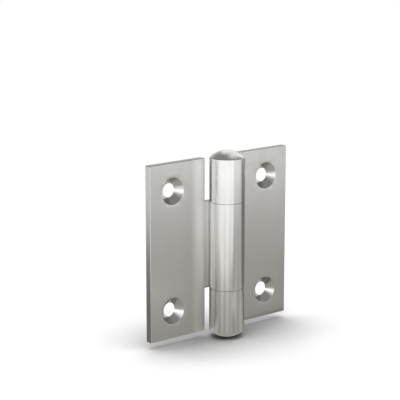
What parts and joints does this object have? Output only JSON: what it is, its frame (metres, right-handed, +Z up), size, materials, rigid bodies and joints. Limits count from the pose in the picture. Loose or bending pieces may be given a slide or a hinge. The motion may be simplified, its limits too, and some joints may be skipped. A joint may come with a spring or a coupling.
{
  "type": "butt hinge",
  "caption": "Butt hinge rolled from steel sheet, with countersunk leaves that turn on a pin with domed heads.",
  "frame": {"origin": "on the pin axis, half way up the leaves", "axes": "+Z up the pin, +X across the fixed leaf, -Y out of the front, the side that the screws go in from, with the hinge open flat"},
  "size_m": [0.06, 0.012, 0.0648],
  "materials": {
    "leaf_steel": "satin stainless sheet, finely ground, with the rolled knuckles rubbed brighter",
    "pin_steel": "smooth stainless, with the domed heads polished"
  },
  "bodies": {
    "fixed": {"fixed_leaf": "leaf_steel", "hinge_pin": "pin_steel"},
    "moving": {"moving_leaf": "leaf_steel"}
  },
  "joints": [
    {"name": "leaf_turn", "type": "hinge", "parent": "fixed", "child": "moving", "pos_m": [0, 0, 0], "axis": [0, 0, 1], "range_deg": [-90, 180]}
  ]
}
